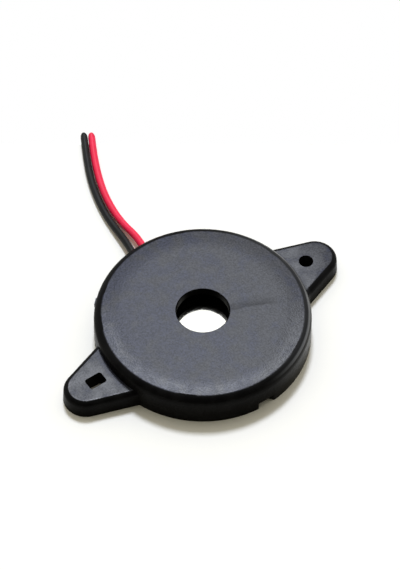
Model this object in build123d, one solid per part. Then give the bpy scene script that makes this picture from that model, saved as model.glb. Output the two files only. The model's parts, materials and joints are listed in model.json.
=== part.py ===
from build123d import *
import math
import os

# A flat self-driven piezo sounder: a round moulded case with two fixing ears, a metal diaphragm
# behind the sound hole, a small drive board under it and two wire leads.
# Lengths are millimetres and angles are degrees. The origin is the middle of the rear face.
# +X runs along the ears to the round hole, +Y runs out along the leads, +Z leaves the sound hole.

# Layers, from the rear face up
COVER_RECESS = 0.1
COVER_THICKNESS = 0.6
BOARD_THICKNESS = 0.4
TRANSISTOR_STANDOFF = 0.05
TRANSISTOR_THICKNESS = 0.95
STACK_CLEARANCE = 0.12
ELECTRODE_THICKNESS = 0.03
CERAMIC_THICKNESS = 0.2
PLATE_THICKNESS = 0.2
FRONT_CAVITY_DEPTH = 1.55
TOP_WALL = 1.3

# Diaphragm and its seat in the case
PLATE_RADIUS = 13.5
CERAMIC_EDGE_GAP = 3.6
ELECTRODE_MARGIN = 0.6
SEAT_OVERLAP = 1.5
ADHESIVE_WIDTH = 0.9
ADHESIVE_LIP = 0.5
ADHESIVE_LIP_THICKNESS = 0.18
ADHESIVE_EDGE_RADIUS = 0.15
ADHESIVE_CLEARANCE = 0.4
TONGUE_WIDTH = 3.4
TONGUE_LENGTH = 6.6
TONGUE_CORNER_RADIUS = 1.2
TONGUE_GAP = 0.5

# Case
COVER_SEAT_WIDTH = 0.6
RIM_WALL = 1.6
CASE_DRAFT_ANGLE = 1.0
CASE_EDGE_RADIUS = 1.4
CROWN_WIDTH = 3.6
CROWN_DROP = 0.36
CROWN_BLEND_RADIUS = 20.0
SOUND_HOLE_RADIUS = 4.13
SOUND_HOLE_EDGE_RADIUS = 0.15
GATE_ANGLE = 135.0
GATE_HEIGHT = 3.5
GATE_WIDTH = 1.2
GATE_TALL = 0.9
GATE_PROUD = 0.14
GATE_ROOT = 0.4
GRIP_NOTCH_WIDTH = 2.75
GRIP_NOTCH_DEPTH = 1.05
GRIP_NOTCH_HEIGHT = 1.45
GRIP_NOTCH_CORNER_RADIUS = 0.4
CUT_OVERRUN = 1.0

# Ears
EAR_THICKNESS = 3.0
EAR_HOLE_SETBACK = 3.0
EAR_TIP_SETBACK = 4.8
EAR_TIP_RADIUS = 3.62
EAR_FLANK_ANGLE = 19.0
EAR_DRAFT_ANGLE = 4.0
EAR_EDGE_RADIUS = 0.95
EAR_ROOT_INSET = 0.15
EAR_ROOT_RADIUS = 0.8
ROUND_HOLE_RADIUS = 1.15
SLOT_LENGTH = 2.95
SLOT_WIDTH = 2.05
SLOT_CORNER_RADIUS = 0.4

# Rear cover
COVER_CLEARANCE = 0.05
COVER_EDGE_CHAMFER = 0.15

# Drive board
BOARD_EDGE_GAP = 2.4
BOARD_CHORD_SHARE = 0.274
BOARD_CORNER_RADIUS = 0.8

# Chip resistors, placed as shares of the board's radius
RESISTOR_LENGTH = 1.6
RESISTOR_WIDTH = 0.8
RESISTOR_THICKNESS = 0.45
RESISTOR_CAP = 0.25
RESISTOR_PLACE_SHARES = {
    "collector_resistor": (-0.30, 0.70),
    "bias_resistor": (-0.53, 0.62),
    "feedback_resistor": (0.24, 0.66),
}

# Drive transistor, placed as a share of the board's radius
TRANSISTOR_LENGTH = 2.9
TRANSISTOR_WIDTH = 1.3
TRANSISTOR_CHAMFER = 0.12
TRANSISTOR_PLACE_SHARE = (0.55, 0.62)
PIN_WIDTH = 0.4
PIN_THICKNESS = 0.12
PIN_FOOT = 0.5
PIN_REACH = 0.6
PIN_SHOULDER = 0.55
PIN_PITCH = 0.95

# Jumper wires and solder joints. Two jumpers' feet are placed as shares of the board's radius, and
# the ground jumper's far end as an angle round the plate.
JUMPER_RADIUS = 0.13
JUMPER_END_RUN = 0.8
JUMPER_SLOPE_RUN = 1.4
JUMPER_BEND_RADIUS = 0.4
JUMPER_SEAT_GAP = 0.03
JUMPER_PLACE_SHARES = {
    "main_jumper": (-0.40, 0.46, -90.0),
    "feedback_jumper": (0.0, 0.35, 90.0),
}
GROUND_JUMPER_ANGLE = 25.0
JUMPERS = [*JUMPER_PLACE_SHARES, "ground_jumper"]
SOLDER_RADIUS = 0.5
SOLDER_HEIGHT = 0.5

# Leads
LEAD_DIAMETER = 1.2
LEAD_SPACING = 2.1
LEAD_SEAT_CLEARANCE = 0.02
CORE_DIAMETER = 0.4
CORE_LENGTH = 2.2
TIP_DIAMETER = 0.45
TIP_LENGTH = 5.0
NOTCH_SIDE_CLEARANCE = 0.1
NOTCH_TOP_CLEARANCE = 0.08
SEALANT_LENGTH = 4.9
SEALANT_WIDTH = 1.3
SEALANT_HEIGHT = 1.5
SEALANT_EDGE_RADIUS = 0.45
SEALANT_WALL_GAP = 0.2
ARC_SHARE = 0.45

# Routes of the leads from the drive board to the coil, chosen by hand
BLACK_ROUTE = [
    (-1.05, 13.2, 1.32), (-1.05, 17.2, 1.32), (-0.45, 20.8, 1.50), (-0.22, 24.4, 1.40),
    (0.13, 28.0, 1.05), (1.03, 31.6, 0.74), (2.33, 35.3, 0.62), (4.22, 39.3, 0.62),
    (6.44, 43.4, 0.62), (8.65, 47.52, 0.62), (10.88, 50.97, 0.62), (13.09, 53.97, 0.62),
]
RED_ROUTE = [
    (1.05, 13.2, 1.32), (1.05, 17.2, 1.32), (1.50, 20.8, 1.50), (1.32, 24.4, 1.40),
    (1.52, 27.9, 1.05), (2.36, 31.3, 0.74), (3.64, 34.9, 0.62), (5.40, 38.8, 0.62),
    (7.52, 42.8, 0.62), (9.75, 46.88, 0.62), (11.92, 50.23, 0.62), (14.11, 53.23, 0.62),
]

# One flat turn that both leads make side by side, and where it starts
COIL_START = (13.618, 53.624, 0.62)
COIL_HEADING = 54.0
COIL_OUTER_RADIUS = 7.8
COIL_INNER_RADIUS = 6.5
COIL_INNER_SWEEP = 110.0
COIL_PAIR_SPACING = 1.26

# Sizes worked out from the above
cover_bottom = COVER_RECESS
cover_top = cover_bottom + COVER_THICKNESS
board_top = cover_top + BOARD_THICKNESS
transistor_bottom = board_top + TRANSISTOR_STANDOFF
electrode_bottom = transistor_bottom + TRANSISTOR_THICKNESS + STACK_CLEARANCE
ceramic_bottom = electrode_bottom + ELECTRODE_THICKNESS
plate_bottom = ceramic_bottom + CERAMIC_THICKNESS
plate_top = plate_bottom + PLATE_THICKNESS
ceiling = plate_top + FRONT_CAVITY_DEPTH
case_height = ceiling + TOP_WALL

cavity_radius = PLATE_RADIUS - SEAT_OVERLAP
chamber_radius = PLATE_RADIUS + ADHESIVE_WIDTH + ADHESIVE_CLEARANCE
cover_seat_radius = chamber_radius + COVER_SEAT_WIDTH
case_radius = cover_seat_radius + RIM_WALL
board_radius = chamber_radius - BOARD_EDGE_GAP
ceramic_radius = PLATE_RADIUS - CERAMIC_EDGE_GAP
electrode_radius = ceramic_radius - ELECTRODE_MARGIN
hole_place = case_radius + EAR_HOLE_SETBACK
tip_place = case_radius + EAR_TIP_SETBACK

lead_radius = LEAD_DIAMETER / 2
lead_height = cover_top + LEAD_SEAT_CLEARANCE + lead_radius
notch_width = LEAD_SPACING + LEAD_DIAMETER + 2 * NOTCH_SIDE_CLEARANCE
notch_height = lead_height + lead_radius + NOTCH_TOP_CLEARANCE
core_start = board_radius + (chamber_radius - board_radius) / 3
jumper_reach = JUMPER_END_RUN + JUMPER_SLOPE_RUN + JUMPER_END_RUN / 2


def turned(points):
    """Turn a closed outline of (radius, height) points about the sounder's axis."""
    return revolve(Plane.XZ * make_face(Polyline(*points, close=True)), Axis.Z)


def disc(radius, bottom, thickness):
    """Return a flat disc on the sounder's axis."""
    return Pos(0, 0, bottom) * extrude(Circle(radius), thickness)


def case_body():
    """Return the solid outside of the case: a drafted disc whose front falls off to a rounded edge."""
    edge_height = case_height - CROWN_DROP
    edge_radius = case_radius - edge_height * math.tan(math.radians(CASE_DRAFT_ANGLE))
    section = make_face(Polyline(
        (0, 0), (case_radius, 0), (edge_radius, edge_height),
        (edge_radius - CROWN_WIDTH, case_height), (0, case_height), close=True,
    ))
    section = fillet(section.vertices().group_by(Axis.Y)[-2], CASE_EDGE_RADIUS)
    section = fillet(section.vertices().group_by(Axis.Y)[-1].sort_by(Axis.X)[-1], CROWN_BLEND_RADIUS)
    return revolve(Plane.XZ * section, Axis.Z)


def ear_slab():
    """Return both ears as one slab with a hub inside the case, rounded at tips, roots and front edges."""
    flank = math.radians(EAR_FLANK_ANGLE)
    reach = tip_place + EAR_TIP_RADIUS / math.sin(flank)
    half_width = reach * math.tan(flank)
    outline = Polygon((reach, 0), (0, half_width), (-reach, 0), (0, -half_width), align=None)
    tips = outline.vertices().sort_by(Axis.X)
    outline = fillet([tips[0], tips[-1]], EAR_TIP_RADIUS)
    hub_radius = case_radius - EAR_ROOT_INSET
    outline = outline + Circle(hub_radius)
    roots = outline.vertices().filter_by(lambda corner: corner.center().length < case_radius)
    roots = roots.filter_by(lambda corner: abs(corner.Y) > EAR_ROOT_RADIUS)
    outline = fillet(roots, EAR_ROOT_RADIUS)
    slab = extrude(outline, EAR_THICKNESS, taper=EAR_DRAFT_ANGLE)
    return fillet(slab.faces().sort_by(Axis.Z)[-1].edges(), EAR_EDGE_RADIUS)


def case_hollow():
    """Return the stepped space inside the case, from the open rear to the sound hole."""
    return turned([
        (0, -CUT_OVERRUN), (cover_seat_radius, -CUT_OVERRUN), (cover_seat_radius, cover_top),
        (chamber_radius, cover_top), (chamber_radius, plate_top), (cavity_radius, plate_top),
        (cavity_radius, ceiling), (SOUND_HOLE_RADIUS, ceiling),
        (SOUND_HOLE_RADIUS, case_height + CUT_OVERRUN), (0, case_height + CUT_OVERRUN),
    ])


def lead_notch():
    """Return the cut in the rear rim, on the +Y side, that lets the leads out."""
    inner = chamber_radius - CUT_OVERRUN
    depth = case_radius + CUT_OVERRUN - inner
    outline = Rectangle(notch_width, depth, align=(Align.CENTER, Align.MIN))
    return Pos(0, inner, -CUT_OVERRUN) * extrude(outline, notch_height + CUT_OVERRUN)


def grip_notch():
    """Return the shallow scoop in the rear rim, on the -Y side, with its corners eased."""
    half_width = GRIP_NOTCH_WIDTH / 2
    mouth = math.sqrt(case_radius ** 2 - half_width ** 2)
    depth = GRIP_NOTCH_DEPTH - (case_radius - mouth)
    radius = (half_width ** 2 + depth ** 2) / (2 * depth)
    middle = mouth - depth + radius
    outside = Rectangle(2 * GRIP_NOTCH_WIDTH, 2 * radius, align=(Align.CENTER, Align.MAX))
    outline = Pos(0, -middle) * Circle(radius) + Pos(0, -mouth) * outside
    corners = outline.vertices().filter_by_position(Axis.X, -GRIP_NOTCH_WIDTH * 0.75, GRIP_NOTCH_WIDTH * 0.75)
    outline = fillet(corners, GRIP_NOTCH_CORNER_RADIUS)
    return Pos(0, 0, -CUT_OVERRUN) * extrude(outline, GRIP_NOTCH_HEIGHT + CUT_OVERRUN)


def gate_mark():
    """Return the small stub that the moulding gate leaves on the case's side."""
    wall = case_radius - GATE_HEIGHT * math.tan(math.radians(CASE_DRAFT_ANGLE))
    stub = Box(GATE_ROOT + GATE_PROUD, GATE_WIDTH, GATE_TALL, align=(Align.MAX, Align.CENTER, Align.CENTER))
    return Rot(0, 0, GATE_ANGLE) * Pos(wall + GATE_PROUD, 0, GATE_HEIGHT) * stub


def case():
    """Return the one-piece moulded case: ears, holes, seats, lead notch and grip notch."""
    cut_depth = EAR_THICKNESS + 2 * CUT_OVERRUN
    round_hole = Pos(hole_place, 0, -CUT_OVERRUN) * extrude(Circle(ROUND_HOLE_RADIUS), cut_depth)
    slot_outline = RectangleRounded(SLOT_LENGTH, SLOT_WIDTH, SLOT_CORNER_RADIUS)
    slot = Pos(-hole_place, 0, -CUT_OVERRUN) * extrude(slot_outline, cut_depth)
    solid = case_body() + ear_slab() + gate_mark()
    solid -= case_hollow()
    solid -= round_hole
    solid -= slot
    solid -= lead_notch()
    solid -= grip_notch()
    hole_rims = solid.edges().filter_by(GeomType.CIRCLE)
    hole_rims = hole_rims.filter_by(lambda edge: abs(edge.radius - SOUND_HOLE_RADIUS) < CUT_OVERRUN / 100)
    return fillet(hole_rims.sort_by(Axis.Z)[-1], SOUND_HOLE_EDGE_RADIUS)


def rear_cover():
    """Return the flat cover that closes the rear of the case."""
    cover = disc(cover_seat_radius - COVER_CLEARANCE, cover_bottom, COVER_THICKNESS)
    return chamfer(cover.edges().sort_by(Axis.Z)[0], COVER_EDGE_CHAMFER)


def diaphragm_plate():
    """Return the round metal plate that sounds."""
    return disc(PLATE_RADIUS, plate_bottom, PLATE_THICKNESS)


def piezo_ceramic():
    """Return the ceramic disc bonded to the rear of the plate."""
    return disc(ceramic_radius, ceramic_bottom, CERAMIC_THICKNESS)


def tongue_outline(margin):
    """Return the feedback electrode's outline, grown by a margin on every side."""
    tongue = RectangleRounded(
        TONGUE_WIDTH + 2 * margin,
        2 * TONGUE_LENGTH + 2 * margin,
        TONGUE_CORNER_RADIUS + margin,
    )
    return (Pos(0, electrode_radius) * tongue) & Circle(electrode_radius)


def feedback_electrode():
    """Return the tongue-shaped silver electrode that senses the vibration."""
    return Pos(0, 0, electrode_bottom) * extrude(tongue_outline(0), ELECTRODE_THICKNESS)


def main_electrode():
    """Return the main silver electrode, with a gap round the feedback tongue."""
    outline = Circle(electrode_radius) - tongue_outline(TONGUE_GAP)
    return Pos(0, 0, electrode_bottom) * extrude(outline, ELECTRODE_THICKNESS)


def adhesive_ring():
    """Return the bead that bonds the plate's edge to its seat in the case."""
    outer = PLATE_RADIUS + ADHESIVE_WIDTH
    inner = PLATE_RADIUS - ADHESIVE_LIP
    bottom = plate_bottom - ADHESIVE_LIP_THICKNESS
    ring = turned([
        (inner, bottom), (outer, bottom), (outer, plate_top),
        (PLATE_RADIUS, plate_top), (PLATE_RADIUS, plate_bottom), (inner, plate_bottom),
    ])
    return fillet(ring.edges().group_by(Axis.Z)[0].sort_by(SortBy.RADIUS)[-1], ADHESIVE_EDGE_RADIUS)


def circuit_board():
    """Return the D-shaped drive board that lies on the rear cover."""
    half = Pos(0, BOARD_CHORD_SHARE * board_radius) * Rectangle(
        2 * board_radius, board_radius, align=(Align.CENTER, Align.MIN)
    )
    outline = Circle(board_radius) & half
    corners = outline.vertices().group_by(Axis.Y)[0]
    outline = fillet(corners, BOARD_CORNER_RADIUS)
    return Pos(0, 0, cover_top) * extrude(outline, BOARD_THICKNESS)


def on_board(shares, height):
    """Return a place on the board from its shares of the board's radius."""
    return Pos(shares[0] * board_radius, shares[1] * board_radius, height)


def resistor_body(shares):
    """Return the ceramic body of one chip resistor."""
    length = RESISTOR_LENGTH - 2 * RESISTOR_CAP
    body = Box(length, RESISTOR_WIDTH, RESISTOR_THICKNESS, align=(Align.CENTER, Align.CENTER, Align.MIN))
    return on_board(shares, board_top) * body


def resistor_terminals():
    """Return the tinned end caps of all the chip resistors."""
    middle = (RESISTOR_LENGTH - RESISTOR_CAP) / 2
    cap = Box(RESISTOR_CAP, RESISTOR_WIDTH, RESISTOR_THICKNESS, align=(Align.CENTER, Align.CENTER, Align.MIN))
    caps = []
    for shares in RESISTOR_PLACE_SHARES.values():
        for side in (-1, 1):
            caps.append(on_board(shares, board_top) * Pos(side * middle, 0, 0) * cap)
    return Compound(children=caps)


def transistor_body():
    """Return the moulded body of the drive transistor."""
    body = Box(
        TRANSISTOR_LENGTH,
        TRANSISTOR_WIDTH,
        TRANSISTOR_THICKNESS,
        align=(Align.CENTER, Align.CENTER, Align.MIN),
    )
    body = chamfer(body.faces().sort_by(Axis.Z)[-1].edges(), TRANSISTOR_CHAMFER)
    return on_board(TRANSISTOR_PLACE_SHARE, transistor_bottom) * body


def transistor_pin():
    """Return one gull-wing pin, from the body's side at the origin out along +Y."""
    riser = PIN_REACH - PIN_FOOT
    section = make_face(Polyline(
        (0, PIN_SHOULDER), (riser, PIN_SHOULDER), (riser, 0), (PIN_REACH, 0), (PIN_REACH, PIN_THICKNESS),
        (riser + PIN_THICKNESS, PIN_THICKNESS), (riser + PIN_THICKNESS, PIN_SHOULDER + PIN_THICKNESS),
        (0, PIN_SHOULDER + PIN_THICKNESS), close=True,
    ))
    return extrude(Plane.YZ * section, PIN_WIDTH / 2, both=True)


def transistor_pins():
    """Return the transistor's three pins, two on one side and one on the other."""
    side = TRANSISTOR_WIDTH / 2
    seat = on_board(TRANSISTOR_PLACE_SHARE, board_top)
    lone = seat * Pos(0, side, 0) * transistor_pin()
    pair = [
        seat * Pos(end * PIN_PITCH, -side, 0) * Rot(0, 0, 180) * transistor_pin()
        for end in (-1, 1)
    ]
    return Compound(children=[lone] + pair)


def jumper_height(name):
    """Return the height of the face that a jumper's far end is soldered to."""
    return plate_bottom if name == "ground_jumper" else electrode_bottom


def jumper_place(name):
    """Return a jumper's own frame: its foot on the board, with +X along the wire."""
    if name == "ground_jumper":
        bare_rim = (ceramic_radius + PLATE_RADIUS - ADHESIVE_LIP) / 2
        angle = math.radians(GROUND_JUMPER_ANGLE)
        return Pos(bare_rim * math.cos(angle) - jumper_reach, bare_rim * math.sin(angle), board_top)
    share_x, share_y, turn = JUMPER_PLACE_SHARES[name]
    return on_board((share_x, share_y), board_top) * Rot(0, 0, turn)


def jumper(name):
    """Return one thin wire from the board up to the face above it."""
    low = JUMPER_RADIUS + JUMPER_SEAT_GAP
    high = jumper_height(name) - board_top - low
    top_start = JUMPER_END_RUN + JUMPER_SLOPE_RUN
    path = FilletPolyline(
        (0, 0, low), (JUMPER_END_RUN, 0, low),
        (top_start, 0, high), (top_start + JUMPER_END_RUN, 0, high),
        radius=JUMPER_BEND_RADIUS,
    )
    wire = sweep(Plane(path @ 0, z_dir=path % 0) * Circle(JUMPER_RADIUS), path=path)
    return jumper_place(name) * wire


def solder_dome():
    """Return one dome of solder that stands on the origin, for a wire that runs along X."""
    arc = EllipticalCenterArc((0, 0), SOLDER_RADIUS, SOLDER_HEIGHT, arc_size=90)
    legs = Polyline((0, SOLDER_HEIGHT), (0, 0), (SOLDER_RADIUS, 0))
    return revolve(Plane.YZ * make_face([arc, legs]), Axis.Z)


def core_middle():
    """Return how far out from the axis a lead's core is soldered to the board."""
    return core_start - CORE_LENGTH + SOLDER_RADIUS / 2


def solder_joints():
    """Return the solder on the board and on the diaphragm, cut round the wires in it."""
    joints = []
    for side, core in zip((-1, 1), lead_cores().solids()):
        seat = Pos(side * LEAD_SPACING / 2, core_middle(), board_top)
        joints.append(seat * Rot(0, 0, 90) * solder_dome() - core)
    for name in JUMPERS:
        wire = jumper(name)
        place = jumper_place(name)
        rise = jumper_height(name) - board_top
        joints.append(place * Pos(JUMPER_END_RUN / 2, 0, 0) * solder_dome() - wire)
        joints.append(place * Pos(jumper_reach, 0, rise) * Rot(180, 0, 0) * solder_dome() - wire)
    return Compound(children=[solid for joint in joints for solid in joint.solids()])


def lead_cores():
    """Return the stripped inner ends of both leads, black first, as they lie on the board."""
    core = Rot(90, 0, 0) * extrude(Circle(CORE_DIAMETER / 2), CORE_LENGTH)
    return Compound(children=[
        Pos(side * LEAD_SPACING / 2, core_start, lead_height) * core for side in (-1, 1)
    ])


def corner_radii(name, points):
    """Return a fillet radius for each corner of a route, and print them."""
    radii = []
    for before, corner, after in zip(points, points[1:], points[2:]):
        arriving = Vector(corner) - Vector(before)
        leaving = Vector(after) - Vector(corner)
        turn = math.radians(arriving.get_angle(leaving))
        shorter = min(arriving.length, leaving.length)
        radii.append(ARC_SHARE * shorter / math.tan(turn / 2))
    print(name, "bend radii", [round(radius, 1) for radius in radii])
    return radii


def lead(name, points):
    """Return one insulated lead along its route."""
    path = FilletPolyline(*points, radius=corner_radii(name, points))
    tube = sweep(Plane(path @ 0, z_dir=path % 0) * Circle(lead_radius), path=path)
    expected = path.length * math.pi * lead_radius ** 2
    print(name, "length", round(path.length, 2), "volume share", round(tube.volume / expected, 4))
    return tube


def coil_plane():
    """Return the coil's frame: the origin at its middle, +X away from the leads' entry."""
    across = math.radians(COIL_HEADING - 90)
    outward = Vector(math.cos(across), math.sin(across), 0)
    return Plane(Vector(COIL_START) + outward * COIL_OUTER_RADIUS, x_dir=outward, z_dir=(0, 0, 1))


def lead_coil():
    """Return the outer shape of both leads where they make one flat turn side by side."""
    first = CenterArc((0, 0), COIL_OUTER_RADIUS, 180, -180)
    second = CenterArc((COIL_OUTER_RADIUS - COIL_INNER_RADIUS, 0), COIL_INNER_RADIUS, 0, -COIL_INNER_SWEEP)
    path = coil_plane() * Wire([first, second])
    section = SlotOverall(COIL_PAIR_SPACING + LEAD_DIAMETER, LEAD_DIAMETER)
    start = Plane(path @ 0, x_dir=coil_plane().x_dir, z_dir=path % 0)
    return sweep(start * section, path=path)


def tip(side):
    """Return one lead's bare tinned end, side -1 on the coil's outside and 1 on its inside."""
    turn = math.radians(COIL_INNER_SWEEP)
    reach = COIL_INNER_RADIUS - side * COIL_PAIR_SPACING / 2
    middle = COIL_OUTER_RADIUS - COIL_INNER_RADIUS
    place = Pos(middle + reach * math.cos(turn), -reach * math.sin(turn), 0)
    heading = (-math.sin(turn), -math.cos(turn), 0)
    rod = Plane(place.position, z_dir=heading) * extrude(Circle(TIP_DIAMETER / 2), TIP_LENGTH)
    return coil_plane().location * rod


def lead_sealant():
    """Return the dab of sealant that grips both leads just inside the case's wall."""
    dab = extrude(SlotOverall(SEALANT_LENGTH, SEALANT_WIDTH), SEALANT_HEIGHT)
    dab = fillet(dab.faces().sort_by(Axis.Z)[-1].edges(), SEALANT_EDGE_RADIUS)
    dab = Pos(0, chamber_radius - SEALANT_WALL_GAP - SEALANT_WIDTH / 2, cover_top) * dab
    bore = Rot(-90, 0, 0) * extrude(Circle(lead_radius), chamber_radius)
    for side in (-1, 1):
        dab -= Pos(side * LEAD_SPACING / 2, 0, lead_height) * bore
    return dab & disc(chamber_radius - ADHESIVE_CLEARANCE / 2, 0, case_height)


def build_parts():
    """Return every sub-part by its node name."""
    parts = {
        "case": case(),
        "rear_cover": rear_cover(),
        "diaphragm_plate": diaphragm_plate(),
        "piezo_ceramic": piezo_ceramic(),
        "main_electrode": main_electrode(),
        "feedback_electrode": feedback_electrode(),
        "adhesive_ring": adhesive_ring(),
        "circuit_board": circuit_board(),
        "resistor_terminals": resistor_terminals(),
        "transistor_body": transistor_body(),
        "transistor_pins": transistor_pins(),
        "solder_joints": solder_joints(),
        "lead_cores": lead_cores(),
        "lead_sealant": lead_sealant(),
        "black_lead": lead("black_lead", BLACK_ROUTE),
        "red_lead": lead("red_lead", RED_ROUTE),
        "lead_coil": lead_coil(),
        "black_tip": tip(-1),
        "red_tip": tip(1),
    }
    for name, shares in RESISTOR_PLACE_SHARES.items():
        parts[name] = resistor_body(shares)
    for name in JUMPERS:
        parts[name] = jumper(name)
    return parts


os.makedirs("parts", exist_ok=True)
for node, shape in build_parts().items():
    export_step(shape, os.path.join("parts", node + ".step"))
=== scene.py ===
"""Dress a flat piezo sounder with wire leads, and set the camera and the light round it.

Everything is in metres, in the frame of the solids: the origin is the middle of the rear face,
+X runs along the ears to the round hole, +Y runs out along the leads, +Z leaves the sound hole.
"""

import json
import logging
import math
from dataclasses import dataclass, field, replace
from enum import Enum
from typing import Any

import bmesh
import bpy
from mathutils import Matrix, Vector

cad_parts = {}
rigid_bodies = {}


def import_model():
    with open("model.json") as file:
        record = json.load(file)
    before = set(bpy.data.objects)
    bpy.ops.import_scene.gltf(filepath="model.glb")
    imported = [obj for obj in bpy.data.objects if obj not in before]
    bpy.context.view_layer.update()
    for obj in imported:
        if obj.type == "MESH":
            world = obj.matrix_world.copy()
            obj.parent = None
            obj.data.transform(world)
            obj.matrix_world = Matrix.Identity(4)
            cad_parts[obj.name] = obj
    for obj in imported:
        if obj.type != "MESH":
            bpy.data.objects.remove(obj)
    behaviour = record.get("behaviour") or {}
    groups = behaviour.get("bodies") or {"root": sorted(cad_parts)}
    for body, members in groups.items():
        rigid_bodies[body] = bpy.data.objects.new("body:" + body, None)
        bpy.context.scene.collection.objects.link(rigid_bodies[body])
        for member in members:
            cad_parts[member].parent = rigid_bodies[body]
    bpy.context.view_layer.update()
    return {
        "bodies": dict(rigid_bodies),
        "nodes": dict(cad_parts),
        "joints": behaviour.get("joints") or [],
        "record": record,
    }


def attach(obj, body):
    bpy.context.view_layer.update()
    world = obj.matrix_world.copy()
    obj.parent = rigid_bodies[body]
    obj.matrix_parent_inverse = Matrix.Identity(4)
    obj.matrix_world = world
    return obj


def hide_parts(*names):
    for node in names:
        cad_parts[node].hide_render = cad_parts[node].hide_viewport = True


LOG = logging.getLogger("sounder")

Socket = bpy.types.NodeSocket
Frame = dict[str, Any]
Colour = tuple[float, float, float]
Point = tuple[float, float, float]
Band = tuple[float, float]

MM = 0.001
QUARTER_TURN = 90.0
HALF_TURN = 180.0
ROOT_BODY = "root"
WHITE: Colour = (1.0, 1.0, 1.0)

# The foot of the sounder's axis, and two ways from there.
AXIS_FOOT: Point = (0.0, 0.0, 0.0)
ALONG_EARS: Point = (1.0, 0.0, 0.0)
UP: Point = (0.0, 0.0, 1.0)

# What a mask that grows and one that fades go from and to.
GROWING: Band = (0.0, 1.0)
FADING: Band = (1.0, 0.0)

# The mix node's sockets for colours, by number because others share their names.
MIX_SHARE = 0
MIX_FIRST = 6
MIX_SECOND = 7
MIX_RESULT = 2

# How strong each finer layer of a noise is beside the one before it.
NOISE_FALL = 0.55


class Stretch(Enum):
    """How places are scaled: a small share along an axis draws a pattern out, none flattens it."""

    EVEN = (1.0, 1.0, 1.0)
    ALONG_X = (0.06, 1.0, 1.0)
    ALONG_Y = (1.0, 0.06, 1.0)
    FLAT = (1.0, 1.0, 0.0)


class Detail(Enum):
    """How many finer layers a noise has."""

    PLAIN = 2.0
    CLOUDY = 3.0
    FINE = 4.0


class Contrast(Enum):
    """The part of a noise's range that a pattern spans: a narrow part gives hard-edged blots."""

    FAINT = (0.2, 0.8)
    SOFT = (0.25, 0.75)
    PLAIN = (0.3, 0.7)
    HIGHLIGHT_BLOTS = (0.3, 0.68)
    GRAINED = (0.32, 0.68)
    PATCHED = (0.35, 0.65)
    WORN = (0.36, 0.64)


class Sum(Enum):
    """The sums that the node trees do with one or two values."""

    ADD = "ADD"
    SUBTRACT = "SUBTRACT"
    MULTIPLY = "MULTIPLY"
    GREATER = "MAXIMUM"
    SIZE = "ABSOLUTE"


class Track(Enum):
    """Which side of the pair a lead runs on in the flat turn, as a share of the pair's spacing."""

    OUTSIDE = 0.5
    INSIDE = -0.5


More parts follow.
